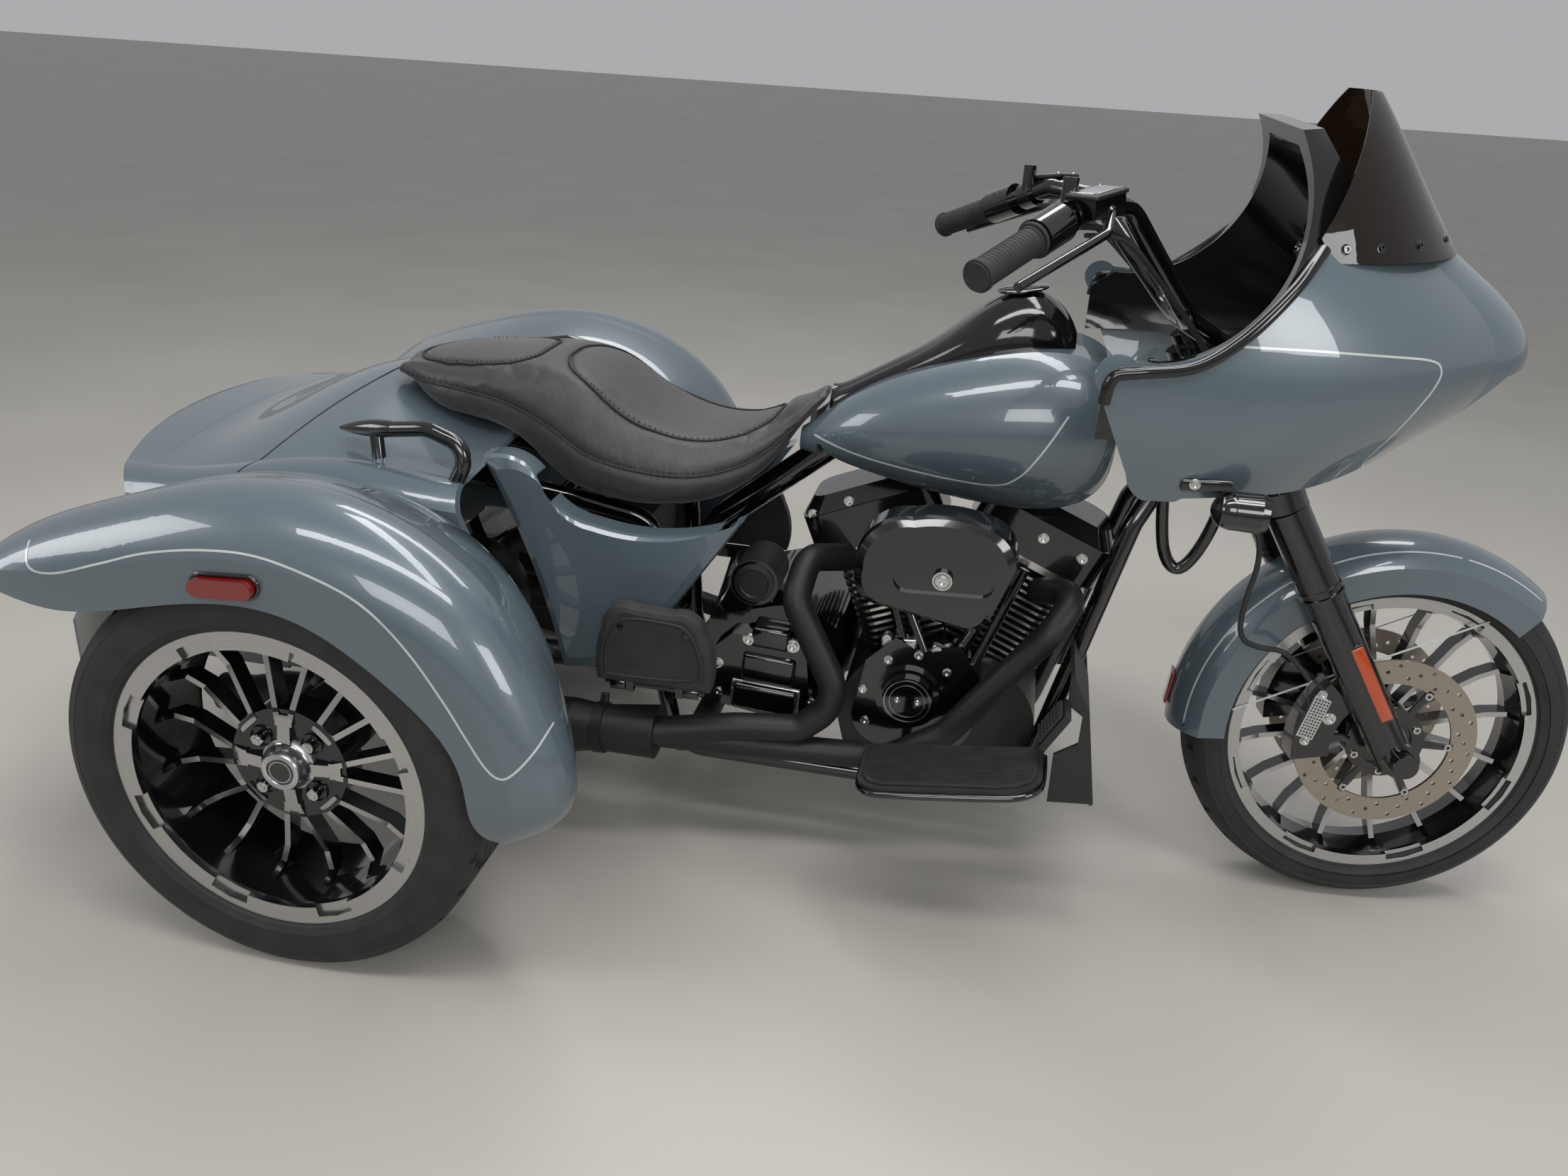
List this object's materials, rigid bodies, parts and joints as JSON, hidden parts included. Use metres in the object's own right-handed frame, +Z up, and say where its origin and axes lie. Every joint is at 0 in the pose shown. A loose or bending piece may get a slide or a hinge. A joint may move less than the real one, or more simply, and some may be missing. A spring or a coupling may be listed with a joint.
{
  "type": "motorized touring trike",
  "caption": "Three-wheeled touring motorcycle with a steered front wheel, bare V-twin, two-up seat, fairing and a trunk between wide rear fenders",
  "frame": {"origin": "on the ground, under the middle of the whole length", "axes": "+X forward, +Y to the rider's left, +Z up"},
  "size_m": [2.5593, 1.476, 1.3388],
  "materials": {
    "body_paint": "blue-grey gloss paint",
    "gloss_black": "gloss black paint",
    "satin_black": "satin black powder coat",
    "matte_black_plastic": "moulded black plastic",
    "gloss_black_plastic": "gloss black plastic",
    "tyre": "tyre rubber",
    "rubber": "black rubber",
    "cast_alloy": "gloss black alloy with machined edges",
    "engine_black": "black finned alloy with bright edges",
    "steel": "brushed steel",
    "vinyl": "dark vinyl",
    "smoked_screen": "smoked acrylic",
    "red_lens": "red lens",
    "dark_lens": "dark lamp lens"
  },
  "bodies": {
    "chassis": {"air_cleaner": "gloss_black", "battery_box": "matte_black_plastic", "cam_cover": "gloss_black", "crankcase": "engine_black", "cylinders": "engine_black", "exhaust_headers": "satin_black", "fairing_bracket": "satin_black", "fairing_inner": "gloss_black_plastic", "fairing_outer": "body_paint", "fender_left": "body_paint", "fender_right": "body_paint", "foot_controls": "satin_black", "frame_backbone": "gloss_black", "frame_cradle": "gloss_black", "fuel_tank": "body_paint", "grab_rails": "gloss_black", "headlamp": "dark_lens", "marker_lamps": "red_lens", "mufflers": "satin_black", "passenger_brackets": "gloss_black", "primary_cover": "gloss_black", "pushrod_tubes": "gloss_black", "rear_axle": "satin_black", "rear_body": "body_paint", "rear_valance": "body_paint", "rider_board_arms": "satin_black", "rider_boards": "rubber", "rocker_covers": "gloss_black", "seat": "vinyl", "side_covers": "body_paint", "splash_panels": "matte_black_plastic", "swingarm": "satin_black", "tail_lamps": "red_lens", "tank_console": "gloss_black_plastic", "transmission": "gloss_black", "turn_signals": "gloss_black", "windscreen": "smoked_screen"},
    "steering": {"fork_legs": "gloss_black", "front_axle": "steel", "triple_clamps": "gloss_black", "handlebar": "gloss_black", "grips": "rubber", "hand_controls": "gloss_black", "front_fender": "body_paint", "front_calipers": "gloss_black"},
    "front_wheel": {"front_rim": "cast_alloy", "front_tyre": "tyre", "front_discs": "steel"},
    "rear_wheel_right": {"rear_rim_right": "cast_alloy", "rear_tyre_right": "tyre"},
    "rear_wheel_left": {"rear_rim_left": "cast_alloy", "rear_tyre_left": "tyre"},
    "trunk_lid": {"trunk_lid": "body_paint"},
    "passenger_board_right": {"passenger_board_right": "rubber"},
    "passenger_board_left": {"passenger_board_left": "rubber"}
  },
  "joints": [
    {"name": "steering_head", "type": "hinge", "parent": "chassis", "child": "steering", "pos_m": [1.0605, 0, 0], "axis": [-0.4384, 0, 0.8988], "range_deg": [-38, 22]},
    {"name": "front_wheel_spin", "type": "hinge", "parent": "steering", "child": "front_wheel", "pos_m": [0.96006, 0.00695, 0.31879], "axis": [-0.1251, 0.9903, -0.061], "continuous": true},
    {"name": "rear_wheel_right_spin", "type": "hinge", "parent": "chassis", "child": "rear_wheel_right", "pos_m": [-0.7125, -0.605, 0.325], "axis": [0, 1, 0], "continuous": true},
    {"name": "rear_wheel_left_spin", "type": "hinge", "parent": "chassis", "child": "rear_wheel_left", "pos_m": [-0.7125, 0.605, 0.325], "axis": [0, 1, 0], "continuous": true},
    {"name": "trunk_lid_hinge", "type": "hinge", "parent": "chassis", "child": "trunk_lid", "pos_m": [-0.806, 0, 0.764], "axis": [0, 1, 0], "range_deg": [0, 55]},
    {"name": "passenger_board_right_hinge", "type": "hinge", "parent": "chassis", "child": "passenger_board_right", "pos_m": [-0.24, -0.32, 0.366], "axis": [1, 0, 0], "range_deg": [0, 90]},
    {"name": "passenger_board_left_hinge", "type": "hinge", "parent": "chassis", "child": "passenger_board_left", "pos_m": [-0.24, 0.32, 0.366], "axis": [-1, 0, 0], "range_deg": [0, 90]}
  ]
}
